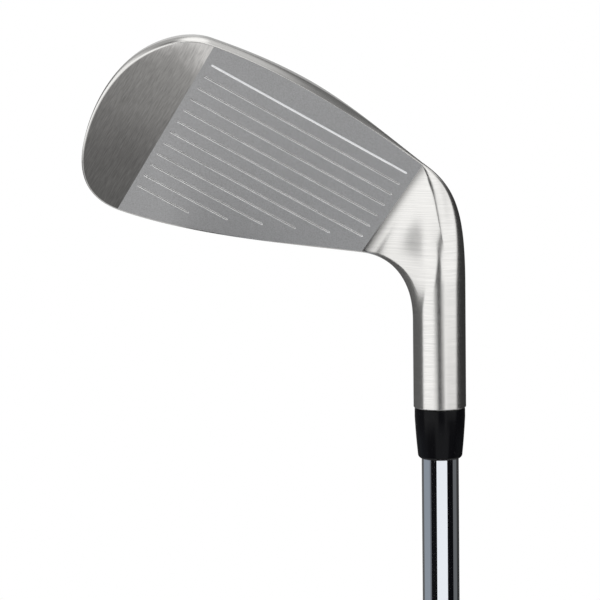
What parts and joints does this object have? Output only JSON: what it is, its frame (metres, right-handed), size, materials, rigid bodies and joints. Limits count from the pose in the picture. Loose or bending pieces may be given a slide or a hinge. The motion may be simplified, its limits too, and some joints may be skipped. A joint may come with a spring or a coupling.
{
  "type": "iron golf club",
  "caption": "Left-handed iron golf club: grooved steel head with a cavity back, ferrule, stepped steel shaft and rubber grip.",
  "frame": {"origin": "centre of the grip's butt end, on the shaft axis, where two hands or a rack cup hold the club", "axes": "+Z along the shaft axis towards the head, -Y the side that the face looks to, -X towards the toe"},
  "size_m": [0.1027, 0.0465, 0.9707],
  "materials": {
    "head_steel": "satin and blasted",
    "line_paint": "enamel",
    "badge_plate": "fine brushed",
    "badge_foam": "foam",
    "ferrule_plastic": "polished",
    "epoxy": "cured resin",
    "weight_brass": "turned",
    "shaft_chrome": "mirror",
    "band_film": "satin film",
    "tape": "paper",
    "grip_rubber": "matte",
    "cap_rubber": "moulded"
  },
  "bodies": {
    "root": {"club_head": "head_steel", "scoreline_paint": "line_paint", "badge_pad": "badge_foam", "cavity_badge": "badge_plate", "ferrule": "ferrule_plastic", "hosel_epoxy": "epoxy", "tip_weight": "weight_brass", "shaft": "shaft_chrome", "shaft_band": "band_film", "grip_tape": "tape", "grip": "grip_rubber", "grip_cap": "cap_rubber"}
  },
  "joints": []
}
